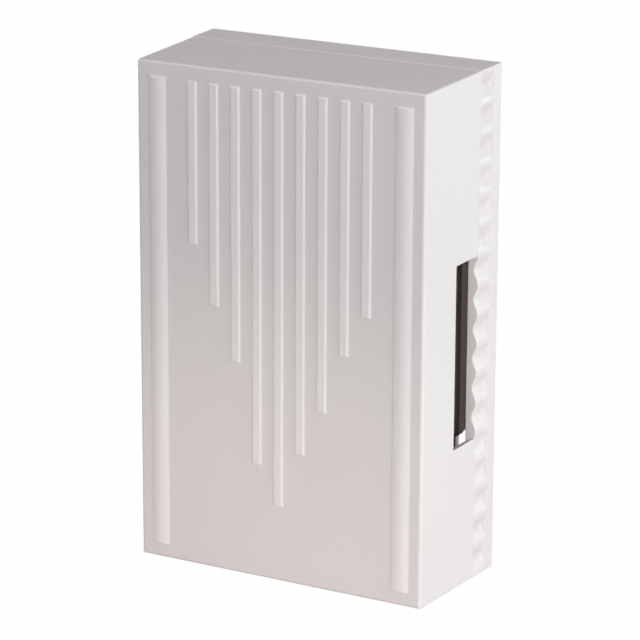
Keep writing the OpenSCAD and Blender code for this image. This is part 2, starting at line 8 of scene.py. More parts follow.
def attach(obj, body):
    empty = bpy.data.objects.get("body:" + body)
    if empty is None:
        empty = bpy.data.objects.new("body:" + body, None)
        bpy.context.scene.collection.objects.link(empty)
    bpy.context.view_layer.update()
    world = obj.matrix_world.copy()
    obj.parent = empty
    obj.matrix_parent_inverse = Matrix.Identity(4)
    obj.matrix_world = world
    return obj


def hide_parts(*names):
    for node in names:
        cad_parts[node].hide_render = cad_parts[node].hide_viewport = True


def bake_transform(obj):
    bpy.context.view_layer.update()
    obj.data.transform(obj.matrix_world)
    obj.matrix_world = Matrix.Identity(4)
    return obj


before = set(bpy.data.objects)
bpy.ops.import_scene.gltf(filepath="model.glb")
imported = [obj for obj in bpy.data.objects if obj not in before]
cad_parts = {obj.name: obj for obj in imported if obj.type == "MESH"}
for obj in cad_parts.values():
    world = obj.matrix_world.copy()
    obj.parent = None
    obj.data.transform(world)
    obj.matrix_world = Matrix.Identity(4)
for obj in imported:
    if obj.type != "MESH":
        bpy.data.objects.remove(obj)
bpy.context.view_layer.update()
print("frame loaded,", len(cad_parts), "CAD nodes")

mm = 0.001
perMetre = 1000   # millimetres; a pattern's scale is this over its size
scene = bpy.context.scene


# sRGB hex to the linear colour that the shaders take
def tint(hexCode):
    parts = [int(hexCode[i:i + 2], 16) / 255 for i in (1, 3, 5)]
    return tuple(c / 12.92 if c <= 0.04045 else ((c + 0.055) / 1.055) ** 2.4 for c in parts) + (1.0,)


# Adds one node; a value that is another node's socket becomes a link
def addNode(tree, kind, inputs=(), **settings):
    node = tree.nodes.new("ShaderNode" + kind)
    for key, value in settings.items():
        setattr(node, key, value)
    for key, value in dict(inputs).items():
        if isinstance(value, bpy.types.NodeSocket):
            tree.links.new(value, node.inputs[key])
        else:
            node.inputs[key].default_value = value
    return node


def newMaterial(name):
    material = bpy.data.materials.new(name)
    material.use_nodes = True
    tree = material.node_tree
    shader = tree.nodes["Principled BSDF"]
    spot = addNode(tree, "TexCoord").outputs["Object"]
    return material, tree, shader, spot


# Camera, fitted to the photograph's edges; lengths in millimetres, the roll in degrees
cameraSetup = {
    "place": (378.84, -698.12, 229.69),
    "target": (1.68, -20.0, -0.71),
    "roll": 0.26,
    "lens": 182.33,
    "sensor": 36.0,
    "clip": (10, 20000),
}


def placeCamera(setup):
    data = bpy.data.cameras.new("photoCamera")
    data.lens = setup["lens"]
    data.sensor_width = setup["sensor"]
    data.clip_start, data.clip_end = (c * mm for c in setup["clip"])
    camera = bpy.data.objects.new("photoCamera", data)
    scene.collection.objects.link(camera)
    place = Vector(setup["place"]) * mm
    aim = (Vector(setup["target"]) * mm - place).to_track_quat("-Z", "Y").to_matrix().to_4x4()
    roll = Matrix.Rotation(math.radians(setup["roll"]), 4, "Z")
    camera.matrix_world = Matrix.Translation(place) @ aim @ roll
    scene.camera = camera


placeCamera(cameraSetup)
print("camera placed")

# Soft studio light: two softboxes on the right, a small front lamp, two boxes overhead, a soft low spot
# in front, a strip near the floor on the right, and fills for the sides that the photograph doesn't show
lightSetup = {
    "sideBox": {"place": (1000, -19, 180), "size": (700, 700), "watts": 2.56, "colour": "#f1fbff"},
    "highBox": {"place": (860, -20, 520), "size": (600, 600), "watts": 2.74, "colour": "#f3fbff"},
    "frontLamp": {"place": (385, -868, 252), "size": (45, 45), "watts": 3.6, "colour": "#fefeff"},
    "topBox": {"place": (60, -40, 950), "size": (600, 600), "watts": 1.53, "colour": "#fff6f4"},
    "upperLeft": {"place": (-470, -310, 840), "size": (400, 400), "watts": 0.75, "colour": "#fffdfc"},
    "lowFront": {"place": (30, -800, -45), "size": (60, 60), "watts": 4.7, "colour": "#ffece5",
                 "cone": 17, "aim": (-6, -38, -84)},
    "lowRight": {"place": (200, -30, -58), "size": (160, 14), "watts": 0.068, "colour": "#fffaf8"},
    "leftFill": {"place": (-830, 480, 0), "size": (400, 120), "watts": 2.8, "colour": "#fffdfc"},
    "rearFill": {"place": (200, 950, 0), "size": (500, 120), "watts": 3.2, "colour": "#fffdfc"},
}
lightTarget = (0, -19, 0)   # the middle of the case, for a lamp with no aim of its own


def placeLights(lights):
    for name, setup in lights.items():
        cone = setup.get("cone")
        data = bpy.data.lights.new(name, "SPOT" if cone else "AREA")
        if cone:
            data.spot_size, data.spot_blend = math.radians(cone), 1.0   # soft from the middle to the rim
            data.shadow_soft_size = setup["size"][0] / 2 * mm
        else:
            data.shape = "RECTANGLE"
            data.size, data.size_y = (s * mm for s in setup["size"])
        data.energy = setup["watts"]
        data.color = tint(setup["colour"])[:3]
        lamp = bpy.data.objects.new(name, data)
        scene.collection.objects.link(lamp)
        lamp.visible_camera = False
        lamp.location = Vector(setup["place"]) * mm
        aim = Vector(setup.get("aim", lightTarget)) * mm
        lamp.rotation_euler = (aim - lamp.location).to_track_quat("-Z", "Y").to_euler()


placeLights(lightSetup)

# The room looks white to the camera, lights the case faintly, and is mirrored brighter from overhead
roomSetup = {"colour": "#ffffff", "strength": 0.06, "seen": 1.0, "mirrored": (0.3, 1.8),
             "domeSpan": (0.5, 0.85)}


def makeRoom(setup):
    world = bpy.data.worlds.new("paleRoom")
    world.use_nodes = True
    scene.world = world
    tree = world.node_tree
    tree.nodes.clear()
    colour = tint(setup["colour"])
    rays = addNode(tree, "LightPath")
    ambient = addNode(tree, "Background", {"Color": colour, "Strength": setup["strength"]})
    spot = addNode(tree, "TexCoord").outputs["Generated"]
    height = addNode(tree, "SeparateXYZ", {0: spot}).outputs["Z"]
    (start, end), (dim, bright) = setup["domeSpan"], setup["mirrored"]
    dome = addNode(tree, "MapRange", {0: height, 1: start, 2: end, 3: dim, 4: bright})
    mirrored = addNode(tree, "Background", {"Color": colour, "Strength": dome.outputs[0]})
    backdrop = addNode(tree, "Background", {"Color": colour, "Strength": setup["seen"]})
    mixed = addNode(tree, "MixShader", {0: rays.outputs["Is Glossy Ray"], 1: ambient.outputs[0],
                                        2: mirrored.outputs[0]})
    mixed = addNode(tree, "MixShader", {0: rays.outputs["Is Camera Ray"], 1: mixed.outputs[0],
                                        2: backdrop.outputs[0]})
    addNode(tree, "OutputWorld", {"Surface": mixed.outputs[0]})


makeRoom(roomSetup)
scene.view_settings.view_transform = "Standard"

# Floor of matt paper: grey where it throws light back, white to the camera as in the photograph
floorSetup = {"height": -65.5, "reach": 6000, "colour": "#bcbab9", "roughness": 0.9, "glow": "#ffffff",
              "seen": 0.992, "mirrored": 0.5}


def makeFloor(setup):
    mesh = bpy.data.meshes.new("paleFloor")
    edge, level = setup["reach"] * mm, setup["height"] * mm
    mesh.from_pydata([(-edge, -edge, level), (edge, -edge, level), (edge, edge, level),
                      (-edge, edge, level)], [], [(0, 1, 2, 3)])
    paleFloor = bpy.data.objects.new("paleFloor", mesh)
    scene.collection.objects.link(paleFloor)
    material, tree, shader, _ = newMaterial("paper sweep")
    shader.inputs["Base Color"].default_value = tint(setup["colour"])
    shader.inputs["Roughness"].default_value = setup["roughness"]
    glow = addNode(tree, "Emission", {"Color": tint(setup["glow"]), "Strength": 1.0})
    rays = addNode(tree, "LightPath")
    mirrored = addNode(tree, "Math", {0: rays.outputs["Is Glossy Ray"], 1: setup["mirrored"]},
                       operation="MULTIPLY")
    share = addNode(tree, "Math", {0: rays.outputs["Is Camera Ray"], 1: setup["seen"],
                                   2: mirrored.outputs[0]}, operation="MULTIPLY_ADD")
    mixed = addNode(tree, "MixShader", {0: share.outputs[0], 1: shader.outputs[0], 2: glow.outputs[0]})
    tree.links.new(mixed.outputs[0], tree.nodes["Material Output"].inputs["Surface"])
    mesh.materials.append(material)


makeFloor(floorSetup)
print("lights and floor placed")

noiseSpan, fullSpan = (0.3, 0.7), (0, 1)   # most of a noise pattern's values lie in the first


# Gloss and fine relief from one pattern; a bump is its strength and its height in millimetres
def roughen(tree, shader, pattern, setup, span=noiseSpan):
    (start, end), (low, high), (strength, rise) = span, setup["roughness"], setup["bump"]
    gloss = addNode(tree, "MapRange", {0: pattern, 1: start, 2: end, 3: low, 4: high})
    tree.links.new(gloss.outputs[0], shader.inputs["Roughness"])
    bump = addNode(tree, "Bump", {"Height": pattern, "Strength": strength, "Distance": rise * mm})
    tree.links.new(bump.outputs[0], shader.inputs["Normal"])


# Moulded ABS: warm white and satin, faintly clouded; the tops of the ribs carry a painted highlight, a
# paler colour than the field
# The spark-eroded grain is finer than 0.1 mm and is drawn coarser, so that it shows
absFinish = {"light": "#ebe6e5", "dark": "#e7e2e1", "crestHighlight": "#f3efee", "crestHighlightMm": (38.04, 38.26),
             "cloudMm": 30, "cloudDetail": 2.0, "sparkMm": 0.7, "sparkDetail": 3.0,
             "roughness": (0.38, 0.48), "bump": (0.05, 0.05), "ior": 1.53}


def mouldedAbs(setup):
    material, tree, shader, spot = newMaterial("moulded ABS")
    cloud = addNode(tree, "TexNoise", {"Vector": spot, "Scale": perMetre / setup["cloudMm"],
                                       "Detail": setup["cloudDetail"]})
    colour = addNode(tree, "Mix", {0: cloud.outputs[0], 6: tint(setup["light"]), 7: tint(setup["dark"])},
                     data_type="RGBA")
    along = addNode(tree, "SeparateXYZ", {0: spot})
    # Painted highlight: a depth mask gives the rib tops a paler colour
    start, end = setup["crestHighlightMm"]
    crestHighlight = addNode(tree, "MapRange", {0: along.outputs["Y"], 1: -start * mm, 2: -end * mm})
    colour = addNode(tree, "Mix", {0: crestHighlight.outputs[0], 6: colour.outputs[2], 7: tint(setup["crestHighlight"])},
                     data_type="RGBA")
    tree.links.new(colour.outputs[2], shader.inputs["Base Color"])
    spark = addNode(tree, "TexNoise", {"Vector": spot, "Scale": perMetre / setup["sparkMm"],
                                       "Detail": setup["sparkDetail"]})
    roughen(tree, shader, spark.outputs[0], setup, fullSpan)
    shader.inputs["IOR"].default_value = setup["ior"]
    return material


# Oil-blackened cold-rolled steel: brown-black with long fine rolling lines and paler on the rubbed edges. A
# pool of light is painted along the bar's rear edge as a paler, browner band, in place of light falling
# through the slot
# The rolling lines are finer than 0.1 mm and are drawn wider, so that they show
steelFinish = {"dark": "#685f59", "light": "#7b716b", "rear": "#b5a79f", "paintedLitStripMm": (8.1, 7.7),
               "paintedLitStripLines": 0.15, "lineMm": 0.35, "lineRunMm": 22, "lineDetail": 4.0, "edgeLift": 0.9,
               "roughness": (0.36, 0.5), "bump": (0.15, 0.05), "metallic": 0.2}


def blackenedSteel(setup, name, lift=0.0):
    material, tree, shader, spot = newMaterial(name)
    fine, run = perMetre / setup["lineMm"], perMetre / setup["lineRunMm"]
    rolled = addNode(tree, "Mapping", {"Vector": spot, "Scale": (fine, fine, run)})
    lines = addNode(tree, "TexNoise", {"Vector": rolled.outputs[0], "Scale": 1.0,
                                       "Detail": setup["lineDetail"]})
    spread = addNode(tree, "MapRange", {0: lines.outputs[0], 1: noiseSpan[0], 2: noiseSpan[1],
                                        3: lift, 4: 1.0 + lift})
    colour = addNode(tree, "Mix", {0: spread.outputs[0], 6: tint(setup["dark"]), 7: tint(setup["light"])},
                     data_type="RGBA", clamp_factor=False)
    along = addNode(tree, "SeparateXYZ", {0: spot})
    # Painted light: a paler band over the rear edge, where light through the slot falls on the bar
    front, back = setup["paintedLitStripMm"]
    rear = addNode(tree, "MapRange", {0: along.outputs["Y"], 1: -front * mm, 2: -back * mm})
    paintedLitStripLines = addNode(tree, "Math", {0: spread.outputs[0], 1: setup["paintedLitStripLines"],
                                       2: 1 - setup["paintedLitStripLines"]}, operation="MULTIPLY_ADD")
    share = addNode(tree, "Math", {0: rear.outputs[0], 1: paintedLitStripLines.outputs[0]}, operation="MULTIPLY")
    colour = addNode(tree, "Mix", {0: share.outputs[0], 6: colour.outputs[2], 7: tint(setup["rear"])},
                     data_type="RGBA")
    tree.links.new(colour.outputs[2], shader.inputs["Base Color"])
    roughen(tree, shader, lines.outputs[0], setup)
    shader.inputs["Metallic"].default_value = setup["metallic"]
    return material


# Metals: zinc plate is pale with a faint cloudy sheen, drawn brass is yellow with streaks along its run,
# enamelled wire is a deep clear red-brown, spring wire is grey, and stripped copper is pale and pink
metalFinish = {
    "zinc-plated steel": {"a": "#c9cac6", "b": "#b3b6b8", "grainMm": (1.2, 1.2, 1.2),
                          "roughness": (0.26, 0.4)},
    "drawn brass": {"a": "#d0ab58", "b": "#b98f3f", "grainMm": (9.0, 0.4, 0.4), "roughness": (0.2, 0.36)},
    "enamelled copper wire": {"a": "#b8642f", "b": "#96481d", "grainMm": (0.5, 3.0, 3.0),
                              "roughness": (0.22, 0.36)},
    "spring steel wire": {"a": "#a9a9a7", "b": "#8d8e8f", "grainMm": (2.0, 0.6, 0.6),
                          "roughness": (0.24, 0.38)},
    "bare copper": {"a": "#d08a5c", "b": "#b9713f", "grainMm": (0.6, 0.6, 5.0), "roughness": (0.25, 0.4)},
}
metalSurface = {"detail": 3.0, "bump": (0.1, 0.03), "metallic": 1.0}


def platedMetal(name, setup):
    material, tree, shader, spot = newMaterial(name)
    stretch = addNode(tree, "Mapping", {"Vector": spot,
                                        "Scale": tuple(perMetre / s for s in setup["grainMm"])})
    grain = addNode(tree, "TexNoise", {"Vector": stretch.outputs[0], "Scale": 1.0,
                                       "Detail": setup["detail"]})
    colour = addNode(tree, "Mix", {0: grain.outputs[0], 6: tint(setup["a"]), 7: tint(setup["b"])},
                     data_type="RGBA")
    tree.links.new(colour.outputs[2], shader.inputs["Base Color"])
    roughen(tree, shader, grain.outputs[0], setup)
    shader.inputs["Metallic"].default_value = setup["metallic"]
    return material


# Plastics and rubber: natural nylon is creamy and waxy, the tape is a glossy yellow film, the sleeve is
# soft red PVC, and the rubber is dull and nearly black
softFinish = {
    "natural nylon": {"a": "#efe9d6", "b": "#e6dfc8", "grainMm": 3.0, "roughness": (0.38, 0.5),
                      "bump": (0.05, 0.05)},
    "polyester tape": {"a": "#dcb83a", "b": "#cfa628", "grainMm": 4.0, "roughness": (0.18, 0.3),
                       "bump": (0.08, 0.05)},
    "PVC sleeve": {"a": "#b02c25", "b": "#9c221c", "grainMm": 2.0, "roughness": (0.34, 0.46),
                   "bump": (0.06, 0.05)},
    "EPDM rubber": {"a": "#2b2a29", "b": "#211f1f", "grainMm": 0.6, "roughness": (0.62, 0.8),
                    "bump": (0.2, 0.05)},
}
softSurface = {"detail": 3.0, "ior": 1.5}


def softPlastic(name, setup):
    material, tree, shader, spot = newMaterial(name)
    cloud = addNode(tree, "TexNoise", {"Vector": spot, "Scale": perMetre / setup["grainMm"],
                                       "Detail": setup["detail"]})
    colour = addNode(tree, "Mix", {0: cloud.outputs[0], 6: tint(setup["a"]), 7: tint(setup["b"])},
                     data_type="RGBA")
    tree.links.new(colour.outputs[2], shader.inputs["Base Color"])
    roughen(tree, shader, cloud.outputs[0], setup)
    shader.inputs["IOR"].default_value = setup["ior"]
    return material


finishes = {
    "moulded ABS": mouldedAbs(absFinish),
    "oil-blackened steel": blackenedSteel(steelFinish, "oil-blackened steel"),
    "rubbed steel edge": blackenedSteel(steelFinish, "rubbed steel edge", steelFinish["edgeLift"]),
}
for name, setup in metalFinish.items():
    finishes[name] = platedMetal(name, {**metalSurface, **setup})
for name, setup in softFinish.items():
    finishes[name] = softPlastic(name, {**softSurface, **setup})
print("materials made,", len(finishes))

# Soft edges of a piece that gives no other values
# From here on lengths are in millimetres and angles in degrees
softEdge = {"segments": 2, "angle": 35, "clamp": True, "material": -1, "shadeWeight": 80}


# Turns a bmesh in millimetres into a piece that rides on its body and stands for its CAD node
def makePiece(name, bm, body, node, finishNames, bevel=None):
    mesh = bpy.data.meshes.new(name)
    bmesh.ops.recalc_face_normals(bm, faces=bm.faces)
    bm.to_mesh(mesh)
    bm.free()
    mesh.transform(Matrix.Scale(mm, 4))
    for finishName in finishNames:
        mesh.materials.append(finishes[finishName])
    mesh.shade_smooth()
    piece = bpy.data.objects.new(name, mesh)
    scene.collection.objects.link(piece)
    if bevel:
        edge = {**softEdge, **bevel}
        soft = piece.modifiers.new("softEdges", "BEVEL")
        soft.width = edge["width"] * mm
        soft.segments = edge["segments"]
        soft.limit_method = "ANGLE"
        soft.angle_limit = math.radians(edge["angle"])
        soft.use_clamp_overlap = edge["clamp"]
        soft.miter_outer = "MITER_ARC"
        soft.harden_normals = True
        soft.material = edge["material"]
        even = piece.modifiers.new("evenShading", "WEIGHTED_NORMAL")
        even.keep_sharp = True
        even.weight = edge["shadeWeight"]
    if body:
        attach(piece, body)
    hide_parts(node)
    return piece


cadReading = {"weld": 0.002, "flatAngle": 0.4}


# Bmesh of a CAD node in millimetres, welded, with its flat faces whole again
def cadForm(node):
    bm = bmesh.new()
    bm.from_mesh(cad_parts[node].data)
    bmesh.ops.transform(bm, matrix=Matrix.Scale(perMetre, 4), verts=bm.verts)
    bmesh.ops.remove_doubles(bm, verts=bm.verts, dist=cadReading["weld"])
    bmesh.ops.dissolve_limit(bm, angle_limit=math.radians(cadReading["flatAngle"]), verts=bm.verts,
                             edges=bm.edges)
    for f in bm.faces:
        f.material_index = 0
    return bm


# Rounds edges of a bmesh with a circular section
def roundEdges(bm, edges, radius, steps, clamp=True):
    bmesh.ops.bevel(bm, geom=edges, offset=radius, segments=steps, profile=0.5, affect="EDGES",
                    clamp_overlap=clamp)


# What the two halves of the case share
caseSetup = {"halfW": 41.0, "halfH": 65.5, "draft": 1.4}

# Front cover: a ribbed front, rounded edges, drafted walls with a sound slot in each side
# A profile is pairs of distance and height; the grid is the mesh lines that carry the front's shape
coverSetup = {
    **caseSetup, "depth": 38.0, "parting": 10.56, "wall": 2.2, "front": 2.2,
    "edgeRound": 0.8, "edgeSteps": 6, "cornerRound": 0.5, "innerRound": 0.35,
    "slotLow": -28.0, "slotHigh": 19.0, "slotDepth": 21.8, "slotSill": 0.8, "sillRun": 4.0,
    "ribPitch": 6.08, "ribMargin": 3.7,
    "ribLengths": (41.5, 56.5, 70.1, 95.8, 105.8, 91.3, 79.3, 63.9, 53.3),
    "ribAcross": ((1.5, 0), (1.45, 0.006), (1.39, 0.03), (1.05, 0.345), (0.97, 0.385), (0.88, 0.4)),
    "ribEnd": (-0.09, -0.03, 0.03, 0.34, 0.41, 0.5),
    "edgeRib": {
        "height": 0.585, "in": 5.8, "margin": 3.6,
        "crown": (2.02, 1.6, 1.2, 0.8, 0.4, 0.0), "crownBow": 6.1,
        "flank": ((2.62, 0), (2.54, 0.01), (2.46, 0.035), (2.13, 0.2), (2.07, 0.23)),
        "end": ((-0.1, 0), (0.0, 0.03), (0.09, 0.17), (0.18, 0.34), (0.27, 0.48), (0.36, 0.56), (0.5, 0.6)),
    },
    "beadDepth": 14.0, "beadRound": 0.5, "beadSpan": (12.0, 28.0), "beadEase": 0.2,
    "beadSteps": (-1, -0.9, -0.6, 0, 0.6, 0.9, 1),
    "grid": {"digits": 4, "leastGap": 0.045, "besideEdge": (0.0, 0.3, 0.6), "cornerLines": 2,
             "evenX": 29.0, "evenZ": 50.0, "ribReach": 2.7, "ribSlack": 0.2, "level": 1e-5},
    "bevel": {"width": 0.15, "segments": 3, "angle": 50, "clamp": False},
}


# Height of a profile at a distance
def profileHeight(pairs, distance):
    if distance <= pairs[0][0]:
        return pairs[0][1]
    for (a, low), (b, high) in zip(pairs, pairs[1:]):
        if distance <= b:
            return low + (high - low) * (distance - a) / (b - a)
    return pairs[-1][1]


def buildCover(setup):
    lines = setup["grid"]
    lean = math.tan(math.radians(setup["draft"]))
    depth, edgeRound = setup["depth"], setup["edgeRound"]
    slotLow, slotHigh = setup["slotLow"], setup["slotHigh"]
    flatW = setup["halfW"] - (depth - edgeRound) * lean - edgeRound
    flatH = setup["halfH"] - (depth - edgeRound) * lean - edgeRound
    ribs = []   # middle, lower end, upper end, profile across, profile along
    across = sorted((-o, h) for o, h in setup["ribAcross"])
    along = [(o, h) for o, (_, h) in zip(setup["ribEnd"], setup["ribAcross"])]
    ribTop = setup["halfH"] - depth * lean - setup["ribMargin"]
    middle = (len(setup["ribLengths"]) - 1) / 2
    for i, length in enumerate(setup["ribLengths"]):
        ribs.append(((i - middle) * setup["ribPitch"], ribTop - length, ribTop, across, along))
    wide = setup["edgeRib"]
    bow = wide["crownBow"]
    wideAcross = [(-o, h) for o, h in wide["flank"]]
    wideAcross += [(-o, math.sqrt(bow ** 2 - o ** 2) - bow + wide["height"]) for o in wide["crown"]]
    wideX = setup["halfW"] - depth * lean - wide["in"]
    wideEnd = setup["halfH"] - depth * lean - wide["margin"]
    for side in (-1, 1):
        ribs.append((side * wideX, -wideEnd, wideEnd, wideAcross, wide["end"]))

    def frontHeight(x, z):
        tallest, slack = 0.0, lines["ribSlack"]
        for mid, low, high, crossing, ending in ribs:
            off = abs(x - mid)
            if off < lines["ribReach"] and low - slack < z < high + slack:
                rise = min(profileHeight(crossing, -off), profileHeight(ending, min(z - low, high - z)))
                tallest = max(tallest, rise)
        return tallest

    def snap(v):
        return round(v, lines["digits"])

    xLines, zLines = set(), {slotLow, slotHigh}
    for mid, low, high, crossing, ending in ribs:
        xLines |= {snap(mid + s * o) for o, _ in crossing for s in (-1, 1)}
        zLines |= {snap(low + o) for o, _ in ending} | {snap(high - o) for o, _ in ending}
    beadFrom, beadTo = setup["beadSpan"]
    besideX = [flatW - o for o in lines["besideEdge"]]
    besideX += [beadFrom, beadTo, beadFrom + setup["beadEase"], beadTo - setup["beadEase"]]
    besideZ = [flatH - o for o in lines["besideEdge"]]
    xLines |= {snap(s * e) for e in besideX for s in (-1, 1)}
    zLines |= {snap(s * e) for e in besideZ for s in (-1, 1)}

    # Drops lines that crowd each other, but not the kept ones
    def thin(crowded, kept):
        out = []
        for v in sorted(crowded):
            close = out and v - out[-1] < lines["leastGap"]
            if close and v not in kept:
                continue
            if close and out[-1] not in kept:
                out.pop()
            out.append(v)
        return out

    xs = thin(xLines, {snap(flatW), snap(-flatW)})
    zs = thin(zLines, {slotLow, slotHigh, snap(flatH), snap(-flatH)})
    lastX, lastZ = len(xs) - 1, len(zs) - 1
    bm = bmesh.new()
    grid = [[bm.verts.new((x, -depth - frontHeight(x, z), z)) for z in zs] for x in xs]
    for i in range(lastX):
        for j in range(lastZ):
            a, b, c, d = grid[i][j], grid[i + 1][j], grid[i + 1][j + 1], grid[i][j + 1]
            ys = [v.co.y for v in (a, b, c, d)]
            odd = [k for k in range(4)
                   if all(abs(ys[k] - ys[m]) > lines["level"] for m in range(4) if m != k)]
            if len(odd) == 1 and odd[0] in (0, 2):   # one corner off the others' level: cut through it
                bm.faces.new((a, b, c)), bm.faces.new((a, c, d))
            elif len(odd) == 1:
                bm.faces.new((a, b, d)), bm.faces.new((b, c, d))
            else:
                bm.faces.new((a, b, c, d))

    rim = [(i, 0) for i in range(lastX)] + [(lastX, j) for j in range(lastZ)]
    rim += [(i, lastZ) for i in range(lastX, 0, -1)] + [(0, j) for j in range(lastZ, 0, -1)]
    corner = lines["cornerLines"]   # grid lines that each rounded corner takes from both sides

    # Fits the lines past an even part to another half width or height
    def squeeze(v, full, end, even):
        if abs(v) <= even:
            return v
        return math.copysign(even + (abs(v) - even) * (end - even) / (full - even), v)

    # The slots' lower edge slopes down towards the inside
    def sill(z):
        foot = slotLow - setup["sillRun"]
        if not foot < z <= slotLow:
            return z
        return foot + (z - foot) * (1 - setup["slotSill"] / setup["sillRun"])

    def ring(halfW, halfH, y, turn, groove=0.0, inside=False):
        out = []
        for i, j in rim:
            fromX, fromZ = min(i, lastX - i), min(j, lastZ - j)
            sx, sz = (-1 if i < lastX / 2 else 1), (-1 if j < lastZ / 2 else 1)
            if fromX <= corner and fromZ <= corner:
                share = (fromX - fromZ + corner) / (2 * corner) * math.pi / 2
                x = sx * (halfW - turn + turn * math.cos(share))
                z = sz * (halfH - turn + turn * math.sin(share))
            elif fromZ == 0:
                x = squeeze(xs[i], xs[-1 - corner], halfW - turn, lines["evenX"])
                z = sz * halfH
                if groove and beadFrom < abs(xs[i]) < beadTo:
                    z += sz * groove
            else:
                x, z = sx * halfW, squeeze(zs[j], zs[-1 - corner], halfH - turn, lines["evenZ"])
                z = sill(z) if inside else z
            out.append(bm.verts.new((x, y, z)))
        return out

    def strip(a, b, skip=lambda k: False):
        for k in range(len(a)):
            m = (k + 1) % len(a)
            if not skip(k):
                bm.faces.new((a[k], a[m], b[m], b[k]))

    def inSlot(k):
        (i, j), (p, q) = rim[k], rim[(k + 1) % len(rim)]
        return i == p and i in (0, lastX) and all(slotLow <= zs[e] <= slotHigh for e in (j, q))

    last = [grid[i][j] for i, j in rim]
    for k in range(1, setup["edgeSteps"] + 1):
        turn = math.radians(-90 + 90 * k / setup["edgeSteps"])
        grow = edgeRound * math.cos(turn)
        now = ring(flatW + grow, flatH + grow, -depth + edgeRound + edgeRound * math.sin(turn),
                   setup["cornerRound"] * math.cos(turn))
        strip(last, now)
        last = now

    def outer(d):
        return ring(setup["halfW"] - d * lean, setup["halfH"] - d * lean, -d, setup["cornerRound"])

    def inner(d, groove=0.0):
        thick = setup["wall"]
        return ring(setup["halfW"] - thick - d * lean, setup["halfH"] - thick - d * lean, -d,
                    setup["innerRound"], groove, True)

    slotFront, parting = setup["slotDepth"], setup["parting"]
    outFront, outRear = outer(slotFront), outer(parting)
    strip(last, outFront)
    strip(outFront, outRear, inSlot)
    inRear = inner(parting)
    strip(outRear, inRear, inSlot)
    inRings = [inRear]
    bead, beadRound = setup["beadDepth"], setup["beadRound"]
    for step in setup["beadSteps"]:
        groove = beadRound * math.sqrt(max(0.0, 1 - step * step))
        inRings.append(inner(bead + step * beadRound, groove))
    inFront = inner(slotFront)
    inRings.append(inFront)
    for a, b in zip(inRings, inRings[1:]):
        strip(a, b, inSlot)
    inEnd = inner(depth - setup["front"])
    strip(inFront, inEnd)
    bm.faces.new(inEnd)
    strip(outFront, inFront, lambda k: not inSlot(k))
    for k, (i, j) in enumerate(rim):   # upper and lower cheek of each slot
        if i in (0, lastX) and zs[j] in (slotLow, slotHigh):
            bm.faces.new([outRear[k], outFront[k]] + [r[k] for r in reversed(inRings)])
    loose = [v for v in bm.verts if not v.link_faces]
    bmesh.ops.delete(bm, geom=loose, context="VERTS")
    makePiece("frontCover", bm, "cover", "front_cover", ["moulded ABS"], setup["bevel"])


buildCover(coverSetup)
print("cover built")

# Rear base: a row of soft reeds along each side ends in a steep wall at the plain rear strip
# The outside edges are rounded; a slack is how far a CAD corner may stand from where it is looked for
baseSetup = {
    **caseSetup, "depth": 10.5, "straighten": 0.35, "sideFrom": 39.2, "endFrom": 64.6,
    "reedFrom": 4.2, "reedPitch": 7.6, "reedRound": 6.617, "reedDepth": 1.15, "valleyFrom": 2.1,
    "crest": 0.03, "leastCut": 0.06,
    "wallEdge": 0.07, "wallCorner": 0.03, "wallShare": 0.45, "wallTurns": 3,
    "edgeRound": 0.24, "edgeSteps": 3, "edgeAngle": 60,
    "reedSlack": 0.12, "edgeSlack": 0.05, "backSlack": 0.01, "weld": 0.003, "sliver": 0.004,
    "bevel": {"width": 0.15, "segments": 2, "angle": 50, "clamp": False},
}


